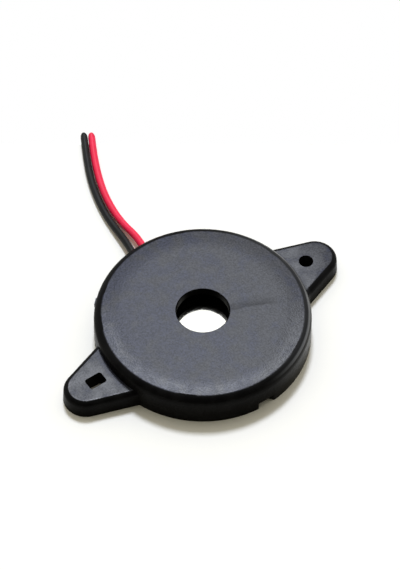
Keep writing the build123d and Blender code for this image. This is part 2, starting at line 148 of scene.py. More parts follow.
class Graph:
    """The node tree of a material or of the world, with short calls for the nodes they share."""

    def __init__(self, owner: bpy.types.Material | bpy.types.World) -> None:
        """Switch the nodes on.

        Args:
            owner: The new material or world.
        """
        owner.use_nodes = True
        self.owner = owner
        self.nodes = owner.node_tree.nodes
        self.links = owner.node_tree.links

    def feed(self, socket: Socket, value: Any) -> None:
        """Link a socket to another node's output, or set it to a plain value.

        Args:
            socket: The socket that is fed.
            value: The output or the value.
        """
        if isinstance(value, Socket):
            self.links.new(value, socket)
        else:
            socket.default_value = value

    def add(
        self, kind: str, inputs: dict[Any, Any] | None = None, **settings: Any
    ) -> bpy.types.Node:
        """Add one node.

        Args:
            kind: The node's type name.
            inputs: Values or outputs for its sockets, by name or by number.
            **settings: The node's own options.

        Returns:
            The new node.
        """
        node = self.nodes.new(kind)
        for name, value in settings.items():
            setattr(node, name, value)
        for key, value in (inputs or {}).items():
            self.feed(node.inputs[key], value)
        return node

    def place(self, stretch: Stretch = Stretch.EVEN, turn: float = 0.0) -> Socket:
        """Return the surface's place on the object, scaled and turned about the sounder's axis.

        Args:
            stretch: How the place is scaled along each axis.
            turn: Degrees to turn about the sounder's axis.

        Returns:
            The place as a vector output.
        """
        inputs = {
            "Vector": self.add("ShaderNodeTexCoord").outputs["Object"],
            "Rotation": (0.0, 0.0, math.radians(turn)),
            "Scale": stretch.value,
        }
        return self.add("ShaderNodeMapping", inputs).outputs["Vector"]

    def noise(self, place: Socket, size: float, detail: Detail = Detail.CLOUDY) -> Socket:
        """Return cloudy noise whose blots are about as large as the size.

        Args:
            place: Where on the surface the noise is read.
            size: The blots' size in metres.
            detail: How many finer layers it has.

        Returns:
            The noise as a value output from 0 to 1.
        """
        inputs = {
            "Vector": place, "Scale": 1.0 / size, "Detail": detail.value, "Roughness": NOISE_FALL,
        }
        return self.add("ShaderNodeTexNoise", inputs).outputs["Fac"]

    def span(self, value: Any, start: Band, end: tuple[Any, Any] = GROWING) -> Socket:
        """Return a value carried smoothly from one range to another.

        Args:
            value: The value that changes.
            start: The range that it is read in.
            end: The range that comes out, as values or outputs.

        Returns:
            The carried value.
        """
        inputs = {
            "Value": value,
            "From Min": start[0], "From Max": start[1],
            "To Min": end[0], "To Max": end[1],
        }
        node = self.add("ShaderNodeMapRange", inputs, interpolation_type="SMOOTHSTEP")
        return node.outputs["Result"]

    def between(self, share: Socket, first: Any, second: Any) -> Socket:
        """Return a value that goes smoothly from a first to a second as the share grows."""
        return self.span(share, GROWING, (first, second))

    def blots(self, noise: Socket, contrast: Contrast, end: tuple[Any, Any] = GROWING) -> Socket:
        """Return a noise carried to a range, with blots as hard as the contrast makes them."""
        return self.span(noise, contrast.value, end)

    def sum(self, operation: Sum, first: Any, second: Any = 0.0) -> Socket:
        """Return what one sum makes of one or two values."""
        inputs = {0: first, 1: second}
        return self.add("ShaderNodeMath", inputs, operation=operation.value).outputs["Value"]

    def blend(self, share: Any, first: Any, second: Any) -> Socket:
        """Return a colour between two colours.

        Args:
            share: How much of the second colour there is, from 0 to 1.
            first: The first colour.
            second: The second colour.

        Returns:
            The colour output.
        """
        inputs = {
            MIX_SHARE: share, MIX_FIRST: self.opaque(first), MIX_SECOND: self.opaque(second),
        }
        return self.add("ShaderNodeMix", inputs, data_type="RGBA").outputs[MIX_RESULT]

    def opaque(self, colour: Any) -> Any:
        """Return a plain colour with full alpha, and leave an output as it is."""
        return colour if isinstance(colour, Socket) else (*colour, 1.0)

    def bump(self, height: Socket, depth: float, strength: Any = 1.0) -> Socket:
        """Return the surface's normal with a relief on it.

        Args:
            height: The relief, from 0 to 1.
            depth: The relief's depth in metres.
            strength: How much of it shows, from 0 to 1.

        Returns:
            The normal output.
        """
        inputs = {"Height": height, "Distance": depth, "Strength": strength}
        return self.add("ShaderNodeBump", inputs).outputs["Normal"]

    def reach(self, place: Socket, way: Point) -> Socket:
        """Return how far out a place lies along a way, which has a length of 1."""
        inputs = {0: place, 1: way}
        return self.add("ShaderNodeVectorMath", inputs, operation="DOT_PRODUCT").outputs["Value"]

    def distance(self, foot: Point) -> Socket:
        """Return how far the surface lies from an upright line with its foot on the rear face."""
        inputs = {0: self.place(Stretch.FLAT), 1: foot}
        return self.add("ShaderNodeVectorMath", inputs, operation="DISTANCE").outputs["Value"]

    def upward(self) -> Socket:
        """Return how far the surface faces up, from -1 to 1."""
        normal = self.add("ShaderNodeNewGeometry").outputs["Normal"]
        return self.add("ShaderNodeSeparateXYZ", {0: normal}).outputs["Z"]

    def shade(self, **sockets: Any) -> bpy.types.Material:
        """Feed the sockets of a material's shader.

        Args:
            **sockets: Values or outputs, by socket name with an underscore for each space.

        Returns:
            The finished material.
        """
        shader = self.nodes["Principled BSDF"]
        for name, value in sockets.items():
            self.feed(shader.inputs[name.replace("_", " ")], value)
        return self.owner


@dataclass(frozen=True)
class Finish:
    """A finish in two close tones, with uneven gloss and a fine relief.

    Attributes:
        slot: The record's material slot that the finish stands for.
        tone: The main colour.
        second_tone: The colour of its blots.
        roughness: The least and the most roughness.
        relief_size: The relief's size.
        relief_depth: The relief's depth.
        mottle_size: The blots' size.
        metallic: 1 for bare metal, else 0.
        specular: The shader's specular level.
        stretch: How the pattern is drawn out.
    """

    slot: str
    tone: Colour
    second_tone: Colour
    roughness: Band
    relief_size: float
    relief_depth: float
    mottle_size: float = 1.0 * MM
    metallic: float = 0.0
    specular: float = 0.5
    stretch: Stretch = Stretch.EVEN

    def material(self) -> bpy.types.Material:
        """Return this finish's material, which is made once."""
        name = f"{self.slot}_finish"
        return bpy.data.materials.get(name) or self.make(Graph(bpy.data.materials.new(name)))

    def make(self, graph: Graph) -> bpy.types.Material:
        """Build the nodes of this finish.

        Args:
            graph: The empty material.

        Returns:
            The finished material.
        """
        relief = graph.noise(graph.place(self.stretch), self.relief_size, Detail.PLAIN)
        return graph.shade(
            Base_Color=graph.blend(self.second_share(graph), self.tone, self.second_tone),
            Roughness=graph.blots(relief, Contrast.SOFT, self.roughness),
            Normal=graph.bump(relief, self.relief_depth),
            Metallic=self.metallic,
            Specular_IOR_Level=self.specular,
        )

    def second_share(self, graph: Graph) -> Socket:
        """Return how much of the second tone shows at each place: soft blots."""
        mottle = graph.noise(graph.place(self.stretch), self.mottle_size)
        return graph.blots(mottle, Contrast.PLAIN)


@dataclass(frozen=True)
class KnitLine:
    """The faint line on the front where the plastic met itself in the mould.

    Attributes:
        angle: Degrees round the sounder from +X.
        offset: How far to the left of the sounder's axis it passes.
        start: Where it starts, along its run.
        end: Where it has faded out.
        width: How far from its middle it shows.
        wander: How far it strays to each side.
        wander_size: The length of one such stray.
        share: How strong it is, from 0 to 1.
        smear_width: The width of the smear on its left.
        smear_share: How strong the smear is, from 0 to 1.
        roughness: The front's roughness in the line.
        shine: How much of the front's sheen the line keeps.
    """

    angle: float = -22.7
    offset: float = -0.63 * MM
    start: float = 4.3 * MM
    end: float = 14.0 * MM
    width: float = 0.6 * MM
    wander: float = 0.3 * MM
    wander_size: float = 2.6 * MM
    share: float = 0.48
    smear_width: float = 1.9 * MM
    smear_share: float = 0.4
    roughness: float = 0.7
    shine: float = 0.3

    def mask(self, graph: Graph) -> Socket:
        """Return how strong the line is at each place.

        Args:
            graph: The material.

        Returns:
            The strength, from 0 to 1.
        """
        place = graph.place(turn=-self.angle)
        strays = graph.noise(place, self.wander_size)
        stray = graph.blots(strays, Contrast.FAINT, (-self.wander, self.wander))
        axes = graph.add("ShaderNodeSeparateXYZ", {0: place}).outputs
        aside = graph.sum(Sum.SUBTRACT, graph.sum(Sum.ADD, axes["Y"], stray), self.offset)
        line = graph.span(graph.sum(Sum.SIZE, aside), (0.0, self.width), (self.share, 0.0))
        near = graph.span(aside, (-self.width, 0.0), (0.0, self.smear_share))
        smear = graph.sum(Sum.MULTIPLY, near, graph.span(aside, (0.0, self.smear_width), FADING))
        line = graph.sum(Sum.GREATER, line, smear)
        opening = graph.span(axes["X"], (self.start - self.width, self.start))
        closing = graph.span(axes["X"], ((self.start + self.end) / 2.0, self.end), FADING)
        return graph.sum(Sum.MULTIPLY, line, graph.sum(Sum.MULTIPLY, opening, closing))


@dataclass(frozen=True)
class HoleShade:
    """Painted shade in a hole: its walls get none of the sides' sheen.

    Attributes:
        foot: Where the hole's axis stands on the rear face.
        radius: How far from there the hole's walls lie, at the most.
        edge: The width over which the sheen gives way to painted shade at the walls.
    """

    foot: Point
    radius: float
    edge: float = 0.1 * MM

    def outside(self, graph: Graph) -> Socket:
        """Return 0 at the hole's walls and 1 further out."""
        return graph.span(graph.distance(self.foot), (self.radius, self.radius + self.edge))


@dataclass(frozen=True)
class SideHighlight:
    """A painted highlight on one side of the case: on its rounded edge most, on the wall below
    less.

    Attributes:
        way: The way to the highlighted side.
        reach: How far out that way the painted highlight starts, and is full.
        height: How high above the rear face the edge's highlight starts, and is full.
        foot_slope: How far a face points up where the edge's highlight starts, and is full.
        top_slope: How far a face points up where the edge's highlight fades, and has ended.
        tone: The edge's painted highlight colour.
        shine: The edge's painted sheen.
        wall_shine: The wall's plain sheen, and its painted sheen on the highlighted side.
    """

    way: Point = (0.94, -0.34, 0.0)
    reach: Band = (5.0 * MM, 14.0 * MM)
    height: Band = (3.1 * MM, 3.6 * MM)
    foot_slope: Band = (0.48, 0.62)
    top_slope: Band = (0.72, 0.86)
    tone: Colour = (0.055, 0.056, 0.060)
    shine: float = 1.0
    wall_shine: Band = (0.045, 0.3)

    def edge(self, graph: Graph) -> Socket:
        """Return how much painted highlight the rounded edge has at each place.

        Args:
            graph: The material.

        Returns:
            The highlight's share, from 0 to 1.
        """
        place = graph.place()
        upward = graph.upward()
        painted_highlight = graph.span(graph.reach(place, self.way), self.reach)
        high = graph.span(graph.reach(place, UP), self.height, (0.0, painted_highlight))
        upper = graph.span(upward, self.top_slope, (high, 0.0))
        return graph.span(upward, self.foot_slope, (0.0, upper))

    def wall(self, graph: Graph) -> Socket:
        """Return the wall's sheen at each place, with painted sheen on the highlighted side."""
        return graph.span(graph.reach(graph.place(), self.way), self.reach, self.wall_shine)

    def lean(self, graph: Graph, most: float) -> Socket:
        """Return a value that goes from -most on the other side to most on the highlighted side."""
        far = self.reach[1]
        return graph.span(graph.reach(graph.place(), self.way), (-far, far), (-most, most))


@dataclass(frozen=True)
class EarPatchesAndShade:
    """The ears' dull and bright patches, and painted sheen that gives way to painted shade along
    +X.

    Attributes:
        start: How far from the sounder's axis the ears start, and are clear of the round body.
        fade: From where to where along +X the painted sheen gives way to painted shade.
        shine: How much of the front's sheen they have before and after that: more is painted sheen,
            less is painted shade.
        size: The patches' size.
        patch_shine: How much of the ears' sheen the dull and the bright patches have.
    """

    start: Band = (17.2 * MM, 18.2 * MM)
    fade: Band = (17.5 * MM, 23.5 * MM)
    shine: Band = (1.25, 0.55)
    size: float = 2.6 * MM
    patch_shine: Band = (0.7, 1.35)

    def mask(self, graph: Graph) -> Socket:
        """Return 0 on the round body and 1 on the ears."""
        return graph.span(graph.distance(AXIS_FOOT), self.start)

    def gain(self, graph: Graph) -> Socket:
        """Return how many times the front's sheen each place has.

        Args:
            graph: The material.

        Returns:
            The gain: 1 on the round body.
        """
        place = graph.place()
        patches = graph.noise(place, self.size)
        patches = graph.blots(patches, Contrast.PATCHED, self.patch_shine)
        # Painted light: extra sheen on the left ear, and painted shade towards the right ear's tip.
        painted_sheen_and_shade = graph.span(graph.reach(place, ALONG_EARS), self.fade, self.shine)
        return graph.between(self.mask(graph), 1.0, graph.sum(Sum.MULTIPLY, patches, painted_sheen_and_shade))


@dataclass(frozen=True)
class RimHighlight:
    """A painted highlight that brightens the front's crowned rim on one side, broken into blots.

    Attributes:
        slope: How far the rim points up at its foot and where it starts.
        way: The way to the highlighted side.
        reach: How far out that way the painted highlight starts, and is full.
        size: The blots' size.
        shine: How much more sheen the rim has where the painted highlight is strongest.
        share: How much of that it has between the blots.
    """

    slope: Band = (0.9945, 0.9995)
    way: Point = (-0.575, -0.818, 0.0)
    reach: Band = (-5.0 * MM, 6.0 * MM)
    size: float = 1.3 * MM
    shine: float = 1.25
    share: float = 0.5

    def gain(self, graph: Graph) -> Socket:
        """Return how many times the front's sheen each place has.

        Args:
            graph: The material.

        Returns:
            The gain: 1 off the highlighted rim.
        """
        place = graph.place()
        # Painted highlight on the front's rim, strongest on one side and broken into blots.
        most = graph.span(graph.reach(place, self.way), self.reach, (0.0, self.shine))
        least = graph.sum(Sum.MULTIPLY, most, self.share)
        rim_highlight = graph.blots(graph.noise(place, self.size), Contrast.HIGHLIGHT_BLOTS, (least, most))
        rim = graph.span(graph.upward(), self.slope, FADING)
        return graph.sum(Sum.ADD, graph.sum(Sum.MULTIPLY, rim, rim_highlight), 1.0)


@dataclass(frozen=True)
class MouldedPlastic(Finish):
    """Black plastic from a mould that is etched on its flat front faces and smooth on its sides.

    The two tones, their blots and the roughness are those of the sides, and the relief is the
    etched grain.

    Attributes:
        etch_slope: How far a face points up where the etching starts and where it is full.
        etch_tone: The colour of the etched faces.
        etch_roughness: The least and the most roughness of the etched faces.
        grain_share: How much of the etched faces' colour the grain's pits and its tops have.
        worn_tone: The colour of the etched faces' worn blots.
        worn_size: The size of those blots.
        worn_lean: How many more worn blots the highlighted side of the case has than the other, and
            the ears.
        shine_slope: How far a face points up where the front's sheen starts and where it is full.
        shine_roughness: The roughness of the sheen.
        front_shine: The sheen of the front faces in the grain's pits and on its tops.
        knit_line: The line on the front.
        hole_shades: The painted shade in the holes.
        side_highlight: The painted highlight on one side of the case.
        ears: The ears' patches, with their painted sheen and shade.
        rim_highlight: The painted highlight on the front's rim.
    """

    etch_slope: Band = (0.968, 0.990)
    etch_tone: Colour = (0.030, 0.034, 0.062)
    etch_roughness: Band = (0.28, 0.42)
    grain_share: Band = (0.35, 1.0)
    worn_tone: Colour = (0.040, 0.041, 0.051)
    worn_size: float = 2.6 * MM
    worn_lean: float = 0.1
    shine_slope: Band = (0.965, 0.993)
    shine_roughness: float = 0.38
    front_shine: Band = (0.305, 0.36)
    knit_line: KnitLine = KnitLine()
    hole_shades: tuple[HoleShade, ...] = (
        HoleShade(AXIS_FOOT, 4.35 * MM),
        HoleShade((20.0 * MM, 0.0, 0.0), 1.35 * MM),
        HoleShade((-20.0 * MM, 0.0, 0.0), 1.85 * MM),
    )
    side_highlight: SideHighlight = SideHighlight()
    ears: EarPatchesAndShade = EarPatchesAndShade()
    rim_highlight: RimHighlight = RimHighlight()

    def make(self, graph: Graph) -> bpy.types.Material:
        """Build the nodes of this finish.

        Args:
            graph: The empty material.

        Returns:
            The finished material.
        """
        etched = graph.span(graph.upward(), self.etch_slope)
        grain = graph.noise(graph.place(), self.relief_size, Detail.FINE)
        line = graph.sum(Sum.MULTIPLY, self.knit_line.mask(graph), etched)
        # Painted highlight on one side's rounded edge: it lightens the base colour and raises the
        # sheen.
        painted_highlight = self.side_highlight.edge(graph)
        mottle = self.second_share(graph)
        smooth_tone = graph.blend(mottle, self.tone, self.second_tone)
        tone = graph.blend(etched, smooth_tone, self.front_tone(graph, grain))
        tone = graph.blend(line, tone, self.tone)
        smooth_gloss = graph.between(mottle, *self.roughness)
        etch_gloss = graph.blots(grain, Contrast.PLAIN, self.etch_roughness)
        etch_gloss = graph.between(line, etch_gloss, self.knit_line.roughness)
        relief = graph.bump(grain, self.relief_depth, etched)
        return graph.shade(
            Base_Color=graph.blend(painted_highlight, tone, self.side_highlight.tone),
            Roughness=graph.between(etched, smooth_gloss, etch_gloss),
            Normal=relief,
            Metallic=self.metallic,
            Specular_IOR_Level=self.specular,
            Coat_Weight=self.sheen(graph, grain, line, painted_highlight),
            Coat_Roughness=self.shine_roughness,
            Coat_Normal=relief,
        )

    def front_tone(self, graph: Graph, grain: Socket) -> Socket:
        """Return the colour of the etched faces, with their worn blots.

        Args:
            graph: The material.
            grain: The etched grain.

        Returns:
            The colour output.
        """
        lean = self.side_highlight.lean(graph, self.worn_lean)
        lean = graph.between(self.ears.mask(graph), lean, self.worn_lean)
        blots = graph.sum(Sum.ADD, graph.noise(graph.place(), self.worn_size), lean)
        tone = graph.blend(graph.blots(blots, Contrast.WORN), self.etch_tone, self.worn_tone)
        share = graph.blots(grain, Contrast.GRAINED, self.grain_share)
        return graph.blend(share, self.second_tone, tone)

    def sheen(self, graph: Graph, grain: Socket, line: Socket, painted_highlight: Socket) -> Socket:
        """Return the sheen: most on the front faces, with painted highlights and painted shade.

        Args:
            graph: The material.
            grain: The etched grain.
            line: The knit line.
            painted_highlight: The painted highlight on the rounded edge.

        Returns:
            The sheen's weight as a value output.
        """
        # The walls' sheen: plain on the ears, with painted sheen on the highlighted side of the
        # case.
        plain_wall_sheen = self.side_highlight.wall_shine[0]
        side = graph.between(self.ears.mask(graph), self.side_highlight.wall(graph), plain_wall_sheen)
        # The hole walls lose all sheen: painted shade in the holes.
        for hole_shade in self.hole_shades:
            side = graph.sum(Sum.MULTIPLY, hole_shade.outside(graph), side)
        # The rounded edge takes the painted highlight's sheen.
        side = graph.between(painted_highlight, side, self.side_highlight.shine)
        front = graph.blots(grain, Contrast.PLAIN, self.front_shine)
        kept = graph.between(line, 1.0, self.knit_line.shine)
        for gain in (kept, self.ears.gain(graph), self.rim_highlight.gain(graph)):
            front = graph.sum(Sum.MULTIPLY, front, gain)
        return graph.span(graph.upward(), self.shine_slope, (side, front))


@dataclass(frozen=True)
class BoardLaminate(Finish):
    """A drive board with a bare cut edge, whose second tone is its coat over copper runs.

    Attributes:
        edge_tone: The colour of the cut edge.
        coat_slope: How far a face points up or down where the coat starts and where it is full.
        run_stray: How far the runs stray from a plain grid, from 0 to 1.
        run_edge: How far inside its outline a run starts, and is full, as shares of its size.
    """

    edge_tone: Colour = (0.42, 0.36, 0.18)
    coat_slope: Band = (0.4, 0.7)
    run_stray: float = 0.35
    run_edge: Band = (0.08, 0.12)

    def make(self, graph: Graph) -> bpy.types.Material:
        """Build the nodes of this finish.

        Args:
            graph: The empty material.

        Returns:
            The finished material.
        """
        weave = graph.noise(graph.place(), self.relief_size, Detail.PLAIN)
        copper = self.second_share(graph)
        coat = graph.blend(copper, self.tone, self.second_tone)
        coated = graph.span(graph.sum(Sum.SIZE, graph.upward()), self.coat_slope)
        return graph.shade(
            Base_Color=graph.blend(coated, self.edge_tone, coat),
            Roughness=graph.blots(weave, Contrast.SOFT, self.roughness),
            Normal=graph.bump(graph.sum(Sum.ADD, copper, weave), self.relief_depth),
            Metallic=self.metallic,
            Specular_IOR_Level=self.specular,
        )

    def second_share(self, graph: Graph) -> Socket:
        """Return where the copper runs lie.

        Args:
            graph: The material.

        Returns:
            The share of copper under the coat, from 0 to 1.
        """
        inputs = {
            "Vector": graph.place(), "Scale": 1.0 / self.mottle_size, "Randomness": self.run_stray,
        }
        runs = graph.add("ShaderNodeTexVoronoi", inputs, feature="DISTANCE_TO_EDGE")
        return graph.span(runs.outputs["Distance"], self.run_edge)


@dataclass(frozen=True)
class ChipCeramic(Finish):
    """A chip resistor's white ceramic block, whose second tone is the dark glass on its top.

    Attributes:
        glass_slope: How far a face points up where the glass starts and where it is full.
    """

    glass_slope: Band = (0.5, 0.8)

    def second_share(self, graph: Graph) -> Socket:
        """Return how much of the glass there is at each place."""
        return graph.span(graph.upward(), self.glass_slope)


CASE_PLASTIC = MouldedPlastic(
    slot="case_plastic", tone=(0.0030, 0.0028, 0.0029), second_tone=(0.0056, 0.0054, 0.0054),
    mottle_size=2.2 * MM, roughness=(0.22, 0.32), relief_size=0.27 * MM, relief_depth=0.036 * MM,
    specular=0.012,
)
COVER_PLASTIC = Finish(
    slot="cover_plastic", tone=(0.012, 0.012, 0.013), second_tone=(0.022, 0.022, 0.024),
    mottle_size=3.0 * MM, roughness=(0.38, 0.52), relief_size=0.25 * MM, relief_depth=0.012 * MM,
    specular=0.4,
)
NICKEL_PLATE = Finish(
    slot="nickel_plate", tone=(0.82, 0.79, 0.70), second_tone=(0.74, 0.71, 0.61),
    mottle_size=4.0 * MM, roughness=(0.03, 0.06), relief_size=0.4 * MM, relief_depth=0.0002 * MM,
    metallic=1.0, stretch=Stretch.ALONG_X,
)
PIEZO_CERAMIC = Finish(
    slot="piezo_ceramic", tone=(0.52, 0.47, 0.37), second_tone=(0.44, 0.40, 0.32),
    mottle_size=1.2 * MM, roughness=(0.55, 0.7), relief_size=0.1 * MM, relief_depth=0.004 * MM,
)
SILVER_ELECTRODE = Finish(
    slot="silver_electrode", tone=(0.78, 0.77, 0.73), second_tone=(0.66, 0.64, 0.59),
    mottle_size=1.6 * MM, roughness=(0.38, 0.55), relief_size=0.15 * MM, relief_depth=0.005 * MM,
    metallic=1.0,
)
ADHESIVE = Finish(
    slot="adhesive", tone=(0.70, 0.69, 0.64), second_tone=(0.60, 0.59, 0.53),
    roughness=(0.3, 0.45), relief_size=0.8 * MM, relief_depth=0.05 * MM,
)
SEALANT = Finish(
    slot="sealant", tone=(0.60, 0.53, 0.38), second_tone=(0.50, 0.43, 0.29),
    mottle_size=0.8 * MM, roughness=(0.22, 0.38), relief_size=0.6 * MM, relief_depth=0.06 * MM,
)
BOARD_LAMINATE = BoardLaminate(
    slot="board_laminate", tone=(0.02, 0.13, 0.05), second_tone=(0.05, 0.26, 0.09),
    mottle_size=2.4 * MM, roughness=(0.28, 0.42), relief_size=0.2 * MM, relief_depth=0.01 * MM,
)
CHIP_CERAMIC = ChipCeramic(
    slot="chip_ceramic", tone=(0.72, 0.71, 0.68), second_tone=(0.015, 0.015, 0.018),
    roughness=(0.3, 0.5), relief_size=0.1 * MM, relief_depth=0.006 * MM,
)
TINNED_METAL = Finish(
    slot="tinned_metal", tone=(0.70, 0.69, 0.66), second_tone=(0.56, 0.55, 0.52),
    mottle_size=0.4 * MM, roughness=(0.24, 0.42), relief_size=0.15 * MM, relief_depth=0.006 * MM,
    metallic=1.0,
)
TRANSISTOR_EPOXY = Finish(
    slot="transistor_epoxy", tone=(0.022, 0.022, 0.024), second_tone=(0.034, 0.034, 0.036),
    mottle_size=0.2 * MM, roughness=(0.55, 0.7), relief_size=0.06 * MM, relief_depth=0.005 * MM,
)
JUMPER_ENAMEL = Finish(
    slot="jumper_enamel", tone=(0.62, 0.24, 0.09), second_tone=(0.50, 0.17, 0.06),
    mottle_size=0.5 * MM, roughness=(0.2, 0.35), relief_size=0.2 * MM, relief_depth=0.004 * MM,
    metallic=1.0, stretch=Stretch.ALONG_Y,
)
BLACK_INSULATION = Finish(
    slot="black_insulation", tone=(0.006, 0.006, 0.0055), second_tone=(0.010, 0.010, 0.009),
    mottle_size=1.5 * MM, roughness=(0.36, 0.5), relief_size=0.35 * MM, relief_depth=0.01 * MM,
    specular=0.12,
)
RED_INSULATION = replace(
    BLACK_INSULATION, slot="red_insulation", specular=0.24,
    tone=(0.77, 0.011, 0.068), second_tone=(0.72, 0.009, 0.056),
)


def put(name: str, data: bpy.types.ID) -> bpy.types.Object:
    """Put new data into the scene.

    Args:
        name: The object's name.
        data: The mesh, curve, lamp or camera.

    Returns:
        The new object.
    """
    made = bpy.data.objects.new(name, data)
    bpy.context.collection.objects.link(made)
    return made


def settle(name: str, shape: bmesh.types.BMesh) -> bpy.types.Mesh:
    """Turn a finished shape into a mesh.

    Args:
        name: The mesh's name.
        shape: The shape, which is freed.

    Returns:
        The new mesh.
    """
    data = bpy.data.meshes.new(name)
    shape.to_mesh(data)
    shape.free()
    return data


def put_piece(
    name: str, data: bpy.types.Mesh | bpy.types.Curve, finish: Finish
) -> bpy.types.Object:
    """Put a new piece into the scene, dressed, which rides on the sounder.

    Args:
        name: The piece's name.
        data: Its mesh or curve.
        finish: Its finish.

    Returns:
        The new object.
    """
    data.materials.append(finish.material())
    piece = put(name, data)
    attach(piece, ROOT_BODY)
    return piece


@dataclass
class DressedSolids:
    """Solids of the frame that keep their shapes and get finishes.

    Attributes:
        finishes: The finish of each node, by the node's name.
    """

    finishes: dict[str, Finish]

    def build(self, frame: Frame) -> None:
        """Give the solids their finishes.

        Args:
            frame: The loaded frame.
        """
        for node, finish in self.finishes.items():
            for material_slot in frame["nodes"][node].material_slots:
                material_slot.material = finish.material()
            LOG.info("%s dressed in %s", node, finish.slot)


@dataclass
class MouldedCase(DressedSolids):
    """The black case with its two ears, and the flat cover that closes its rear."""

    finishes: dict[str, Finish] = field(default_factory=lambda: {
        "case": CASE_PLASTIC,
        "rear_cover": COVER_PLASTIC,
    })


@dataclass
class Diaphragm(DressedSolids):
    """The metal plate behind the sound hole, its ceramic and electrodes, and the bead round it."""

    finishes: dict[str, Finish] = field(default_factory=lambda: {
        "diaphragm_plate": NICKEL_PLATE,
        "piezo_ceramic": PIEZO_CERAMIC,
        "main_electrode": SILVER_ELECTRODE,
        "feedback_electrode": SILVER_ELECTRODE,
        "adhesive_ring": ADHESIVE,
    })


@dataclass
class DriveBoard(DressedSolids):
    """The small board that drives the diaphragm, with its parts, jumpers, joints and lead ends."""

    finishes: dict[str, Finish] = field(default_factory=lambda: {
        "circuit_board": BOARD_LAMINATE,
        "collector_resistor": CHIP_CERAMIC,
        "bias_resistor": CHIP_CERAMIC,
        "feedback_resistor": CHIP_CERAMIC,
        "resistor_terminals": TINNED_METAL,
        "transistor_body": TRANSISTOR_EPOXY,
        "transistor_pins": TINNED_METAL,
        "main_jumper": JUMPER_ENAMEL,
        "feedback_jumper": JUMPER_ENAMEL,
        "ground_jumper": JUMPER_ENAMEL,
        "solder_joints": TINNED_METAL,
        "lead_cores": TINNED_METAL,
        "lead_sealant": SEALANT,
    })


@dataclass
class FlatTurn:
    """One flat turn that both leads make side by side on the table.

    Attributes:
        start: Where the middle of the pair enters the turn.
        heading: Degrees from +X of the way that it enters.
        outer_radius: The radius of the first half turn.
        inner_radius: The radius of the rest.
        inner_sweep: Degrees that the rest goes round.
        spacing: The distance between the two leads.
        step: Degrees from one point of a lead to the next.
    """

    start: Point = (13.618 * MM, 53.624 * MM, 0.62 * MM)
    heading: float = 54.0
    outer_radius: float = 7.8 * MM
    inner_radius: float = 6.5 * MM
    inner_sweep: float = 110.0
    spacing: float = 1.26 * MM
    step: float = 15.0

    @property
    def sweep(self) -> float:
        """Return the degrees that the whole turn goes round."""
        return HALF_TURN + self.inner_sweep

    def frame(self) -> Matrix:
        """Return the turn's frame.

        Returns:
            The frame of its middle, with +X away from where the leads come in.
        """
        turn = Matrix.Rotation(math.radians(self.heading - QUARTER_TURN), 4, "Z")
        outward = turn @ Vector((1.0, 0.0, 0.0))
        return Matrix.Translation(Vector(self.start) + outward * self.outer_radius) @ turn

    def point(self, track: Track, swept: float) -> Vector:
        """Return a lead's place after the pair has gone some degrees round.

        Args:
            track: The side of the pair.
            swept: Degrees since the turn's start.

        Returns:
            The place in the object's frame.
        """
        first_half = swept <= HALF_TURN
        radius = self.outer_radius if first_half else self.inner_radius
        radius += track.value * self.spacing
        middle = 0.0 if first_half else self.outer_radius - self.inner_radius
        angle = math.radians(HALF_TURN - swept)
        local = Vector((middle + radius * math.cos(angle), radius * math.sin(angle), 0.0))
        return self.frame() @ local

    def points(self, track: Track) -> list[Vector]:
        """Return a lead's points round the turn, after the one where it comes in."""
        count = round(self.sweep / self.step)
        return [self.point(track, self.sweep * number / count) for number in range(1, count + 1)]

    def exit(self, track: Track) -> Matrix:
        """Return the frame of a lead's end.

        Args:
            track: The side of the pair.

        Returns:
            The frame of its place, with +Z along the way that the lead leaves.
        """
        angle = math.radians(-self.inner_sweep)
        leaving = self.frame().to_3x3() @ Vector((math.sin(angle), -math.cos(angle), 0.0))
        place = Matrix.Translation(self.point(track, self.sweep))
        return place @ leaving.to_track_quat("Z", "Y").to_matrix().to_4x4()


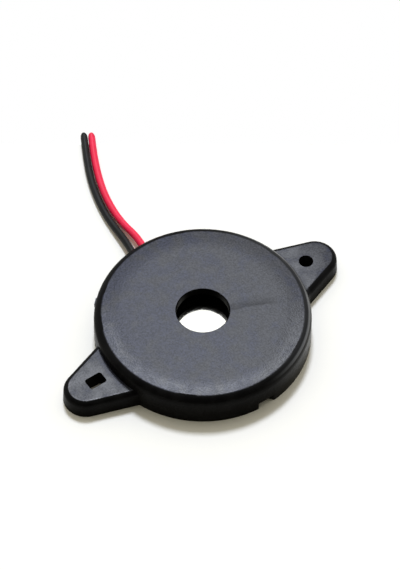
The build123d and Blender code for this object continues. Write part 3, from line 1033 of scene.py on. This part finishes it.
@dataclass
class TinnedEnd:
    """A lead's bare end: strands laid round one of them and dipped in tin.

    Attributes:
        length: The bare length.
        buried: How far the strands start inside the insulation.
        strand_radius: One strand's radius.
        outer_strands: How many strands lie round the middle one.
        lay: Degrees that the strands go round the middle one along the end.
        steps: How many steps that is made in.
        sides: How many sides a strand's section has.
    """

    length: float = 5.0 * MM
    buried: float = 0.4 * MM
    strand_radius: float = 0.075 * MM
    outer_strands: int = 6
    lay: float = 400.0
    steps: int = 32
    sides: int = 10

    def build(self, name: str, place: Matrix) -> bpy.types.Object:
        """Build one bare end.

        Args:
            name: The piece's name.
            place: The frame of the insulation's end, with +Z outwards.

        Returns:
            The new object.
        """
        shape = bmesh.new()
        self.add_strand(shape, Vector((0.0, 0.0, -self.buried)))
        out = 2.0 * self.strand_radius
        for number in range(self.outer_strands):
            angle = math.tau * number / self.outer_strands
            foot = Vector((out * math.cos(angle), out * math.sin(angle), -self.buried))
            self.add_strand(shape, foot)
        bmesh.ops.recalc_face_normals(shape, faces=shape.faces)
        bmesh.ops.transform(shape, matrix=place, verts=shape.verts)
        for face in shape.faces:
            # A strand's flat ends have a corner for each side of its section.
            face.smooth = len(face.verts) < self.sides
        LOG.info("%s built with %d faces", name, len(shape.faces))
        return put_piece(name, settle(name, shape), TINNED_METAL)

    def add_strand(self, shape: bmesh.types.BMesh, foot: Vector) -> None:
        """Add one strand that winds about the end's axis.

        Args:
            shape: The shape that gets it.
            foot: The middle of the strand's first section.
        """
        ring = bmesh.ops.create_circle(
            shape, cap_ends=True, radius=self.strand_radius, segments=self.sides,
            matrix=Matrix.Translation(foot),
        )["verts"]
        edges = list(dict.fromkeys(edge for vertex in ring for edge in vertex.link_edges))
        rise = (self.length + self.buried) / self.steps
        turn = Matrix.Rotation(math.radians(self.lay) / self.steps, 3, "Z")
        for _ in range(self.steps):
            made = bmesh.ops.extrude_edge_only(shape, edges=edges)["geom"]
            ring = [item for item in made if isinstance(item, bmesh.types.BMVert)]
            edges = [
                item for item in made
                if isinstance(item, bmesh.types.BMEdge) and all(end in ring for end in item.verts)
            ]
            bmesh.ops.translate(shape, verts=ring, vec=(0.0, 0.0, rise))
            bmesh.ops.rotate(shape, verts=ring, cent=(0.0, 0.0, 0.0), matrix=turn)
        bmesh.ops.contextual_create(shape, geom=edges)


@dataclass
class Lead:
    """One insulated wire lead from the drive board to its bare end.

    Attributes:
        name: The lead's name.
        finish: Its insulation's finish.
        track: Its side of the pair in the flat turn.
        length: Its insulated length.
        route: Its points from the drive board to the flat turn, in millimetres.
        nodes: The solids that it stands for.
        tip_node: The solid that its bare end stands for.
        diameter: Its insulation's diameter.
        leaving: Which point of the route is where it leaves the case.
        order: The order of its curve.
        run_steps: How many steps the curve has from one point to the next.
        section_steps: How finely its round section is divided.
    """

    name: str
    finish: Finish
    track: Track
    length: float
    route: list[Point]
    nodes: tuple[str, ...]
    tip_node: str
    diameter: float = 1.2 * MM
    leaving: int = 1
    order: int = 3
    run_steps: int = 8
    section_steps: int = 6

    def build(self, turn: FlatTurn, end: TinnedEnd) -> None:
        """Args:
            turn: The flat turn that it makes.
            end: Its bare end.
        """
        points = [Vector(point) * MM for point in self.route] + turn.points(self.track)
        wire = put_piece(self.name, self.wire(points), self.finish)
        LOG.info("%s laid through %d points", self.name, len(points))
        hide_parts(*self.nodes)
        tip = end.build(f"{self.name}_strands", turn.exit(self.track))
        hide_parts(self.tip_node)

    def wire(self, points: list[Vector]) -> bpy.types.Curve:
        """Make the insulation as one smooth curve.

        Args:
            points: The control points of the curve.

        Returns:
            The new curve.
        """
        curve = bpy.data.curves.new(self.name, "CURVE")
        curve.dimensions = "3D"
        curve.bevel_depth = self.diameter / 2.0
        curve.bevel_resolution = self.section_steps
        curve.resolution_u = self.run_steps
        curve.use_fill_caps = True
        spline = curve.splines.new("NURBS")
        spline.points.add(len(points) - 1)
        for control, point in zip(spline.points, points):
            control.co = (*point, 1.0)
        # Set before there are points, the order would fall to that of straight runs.
        spline.order_u = self.order
        spline.use_endpoint_u = True
        return curve


@dataclass
class LeadPair:
    """The black and the red lead, side by side from the case's notch to their bare ends.

    Attributes:
        turn: The flat turn that both make.
        end: The bare end that each has.
        leads: The two leads.
    """

    turn: FlatTurn = field(default_factory=FlatTurn)
    end: TinnedEnd = field(default_factory=TinnedEnd)
    leads: tuple[Lead, ...] = (
        Lead(
            name="black_wire", finish=BLACK_INSULATION, track=Track.OUTSIDE, length=84.3 * MM,
            route=[
                (-1.05, 13.2, 1.32), (-1.05, 17.2, 1.32), (-0.36, 20.8, 1.10), (-0.12, 24.4, 0.76),
                (0.28, 28.0, 0.64), (1.12, 31.6, 0.62), (2.36, 35.3, 0.62), (4.22, 39.3, 0.62),
                (6.44, 43.4, 0.62), (8.65, 47.52, 0.62), (10.88, 50.97, 0.62), (13.09, 53.97, 0.62),
            ],
            nodes=("black_lead", "lead_coil"), tip_node="black_tip",
        ),
        Lead(
            name="red_wire", finish=RED_INSULATION, track=Track.INSIDE, length=77.0 * MM,
            route=[
                (1.05, 13.2, 1.32), (1.05, 17.2, 1.32), (1.62, 20.8, 1.10), (1.40, 24.4, 0.76),
                (1.72, 27.9, 0.64), (2.44, 31.3, 0.62), (3.66, 34.9, 0.62), (5.40, 38.8, 0.62),
                (7.52, 42.8, 0.62), (9.75, 46.88, 0.62), (11.92, 50.23, 0.62), (14.11, 53.23, 0.62),
            ],
            nodes=("red_lead", "lead_coil"), tip_node="red_tip",
        ),
    )

    def build(self) -> None:
        """Build both leads."""
        for lead in self.leads:
            lead.build(self.turn, self.end)


@dataclass
class TableTop:
    """The plain white table that the sounder lies on.

    Attributes:
        name: Its name.
        width: Its width.
        tone: Its colour.
        speckle_tone: The colour of its fine speckle.
        speckle_size: The speckle's size.
        roughness: Its roughness.
        glow_span: How far off the table starts to turn plain white, and is white.
    """

    name: str = "table_top"
    width: float = 4.0
    tone: Colour = (0.92, 0.92, 0.92)
    speckle_tone: Colour = (0.935, 0.935, 0.935)
    speckle_size: float = 4.0 * MM
    roughness: float = 0.9
    glow_span: Band = (0.04, 0.5)

    def build(self) -> None:
        """Lay the table under the sounder."""
        shape = bmesh.new()
        bmesh.ops.create_grid(shape, x_segments=1, y_segments=1, size=self.width / 2.0)
        data = settle(self.name, shape)
        data.materials.append(self.material())
        put(self.name, data)
        LOG.info("%s laid", self.name)

    def material(self) -> bpy.types.Material:
        """Make the table's material, which keeps the sounder's shadow and turns white far off.

        Returns:
            The finished material.
        """
        graph = Graph(bpy.data.materials.new("table_finish"))
        speckle = graph.noise(graph.place(), self.speckle_size)
        glow = graph.span(graph.distance(AXIS_FOOT), self.glow_span)
        path = graph.add("ShaderNodeLightPath").outputs
        mirrored = graph.sum(Sum.GREATER, path["Is Glossy Ray"], path["Is Transmission Ray"])
        seen = graph.sum(Sum.GREATER, path["Is Camera Ray"], mirrored)
        return graph.shade(
            Base_Color=graph.blend(speckle, self.tone, self.speckle_tone),
            Roughness=self.roughness,
            Specular_IOR_Level=0.0,
            Emission_Color=graph.opaque(WHITE),
            Emission_Strength=graph.sum(Sum.MULTIPLY, seen, glow),
        )


@dataclass
class Room:
    """The white room round the table, dim behind the camera.

    Attributes:
        fill: The light that the bright side gives to matt surfaces.
        shade: The light that the dim side gives to matt surfaces.
        gloss_tone: The room's colour in gloss.
        back: The way to the bright wall, level with the table.
        wall_span: How far a way leans to the bright wall where the room is dim, and is bright.
        dim: How bright the dim side looks in gloss.
        bright: How bright the bright side looks in gloss.
    """

    fill: Colour = (1.0, 0.94, 0.77)
    shade: Colour = (0.2, 0.187, 0.13)
    gloss_tone: Colour = (0.90, 0.94, 1.0)
    back: Point = (0.575, 0.818, 0.0)
    wall_span: Band = (-0.35, 0.3)
    dim: float = 0.02
    bright: float = 1.42

    def build(self) -> None:
        """Set the world's nodes."""
        graph = Graph(bpy.data.worlds.new("room"))
        graph.nodes.clear()
        path = graph.add("ShaderNodeLightPath").outputs
        way = graph.add("ShaderNodeTexCoord").outputs["Generated"]
        wall = graph.span(graph.reach(way, self.back), self.wall_span)
        levels = {"Value": wall, "To Min": self.dim, "To Max": self.bright}
        gloss = graph.add("ShaderNodeMapRange", levels).outputs["Result"]
        matt = self.light(graph, graph.blend(wall, self.shade, self.fill))
        glossy = self.light(graph, self.gloss_tone, gloss)
        mirrored = self.pick(graph, path["Is Glossy Ray"], matt, glossy)
        clear = graph.sum(Sum.GREATER, path["Is Camera Ray"], path["Is Transmission Ray"])
        seen = self.pick(graph, clear, mirrored, self.light(graph, WHITE))
        graph.add("ShaderNodeOutputWorld", {"Surface": seen})
        bpy.context.scene.world = graph.owner
        LOG.info("room set")

    def light(self, graph: Graph, colour: Any, strength: Any = 1.0) -> Socket:
        """Return light of a colour from all round."""
        inputs = {"Color": graph.opaque(colour), "Strength": strength}
        return graph.add("ShaderNodeBackground", inputs).outputs["Background"]

    def pick(self, graph: Graph, share: Socket, first: Socket, second: Socket) -> Socket:
        """Return a first light where the share is 0, and a second where it is 1."""
        inputs = {0: share, 1: first, 2: second}
        return graph.add("ShaderNodeMixShader", inputs).outputs["Shader"]


@dataclass
class SoftBox:
    """A square lamp that lights the sounder from above and behind.

    Attributes:
        name: Its name.
        heading: Degrees from +Y, clockwise from above, of the way to the lamp.
        height: Degrees of the lamp above the table.
        distance: How far off it is.
        width: The width of its front.
        radiance: How bright its front looks, where 1 is white.
        colour: Its colour.
    """

    name: str = "soft_box"
    heading: float = 34.0
    height: float = 61.0
    distance: float = 1.2
    width: float = 0.21
    radiance: float = 79.0
    colour: Colour = (0.865, 0.912, 1.0)

    def build(self) -> None:
        """Hang the lamp."""
        turn = math.radians(self.heading)
        rise = math.radians(self.height)
        way = Vector((
            math.sin(turn) * math.cos(rise), math.cos(turn) * math.cos(rise), math.sin(rise),
        ))
        data = bpy.data.lights.new(self.name, "AREA")
        data.shape = "SQUARE"
        data.size = self.width
        data.energy = self.radiance * math.pi * self.width ** 2
        data.color = self.colour
        lamp = put(self.name, data)
        lamp.location = way * self.distance
        lamp.rotation_euler = way.to_track_quat("Z", "Y").to_euler()
        lamp.visible_camera = False
        LOG.info("%s hung", self.name)


@dataclass
class PhotoCamera:
    """The camera that took the photograph.

    Attributes:
        name: Its name.
        place: Where it stands.
        aim: The way that it looks.
        focal_pixels: Its focal length in pixels of the photograph.
        picture_height: The photograph's longer side in pixels.
        sensor: The longer side of its sensor, in millimetres.
        near_edge: The depth from which it sees.
        far_edge: The depth at which the photograph cuts the leads off.
    """

    name: str = "photo_camera"
    place: Point = (-126.675 * MM, -179.495 * MM, 304.963 * MM)
    aim: Point = (0.34498, 0.49089, -0.80001)
    focal_pixels: float = 2400.0
    picture_height: float = 570.0
    sensor: float = 36.0
    near_edge: float = 10.0 * MM
    far_edge: float = 398.7 * MM

    def build(self) -> None:
        """Set the camera up."""
        data = bpy.data.cameras.new(self.name)
        data.sensor_width = self.sensor
        data.lens = self.sensor * self.focal_pixels / self.picture_height
        data.clip_start = self.near_edge
        data.clip_end = self.far_edge
        camera = put(self.name, data)
        camera.location = self.place
        camera.rotation_euler = Vector(self.aim).to_track_quat("-Z", "Y").to_euler()
        bpy.context.scene.camera = camera
        LOG.info("%s set", self.name)


def main() -> None:
    """Dress the frame, build the new pieces, and set the table, the light and the camera."""
    logging.basicConfig(level=logging.INFO, format="%(name)s: %(message)s")
    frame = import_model()
    PhotoCamera().build()
    LeadPair().build()
    MouldedCase().build(frame)
    Diaphragm().build(frame)
    DriveBoard().build(frame)
    TableTop().build()
    Room().build()
    SoftBox().build()
    bpy.context.scene.view_settings.view_transform = "Standard"


if __name__ == "__main__":
    main()
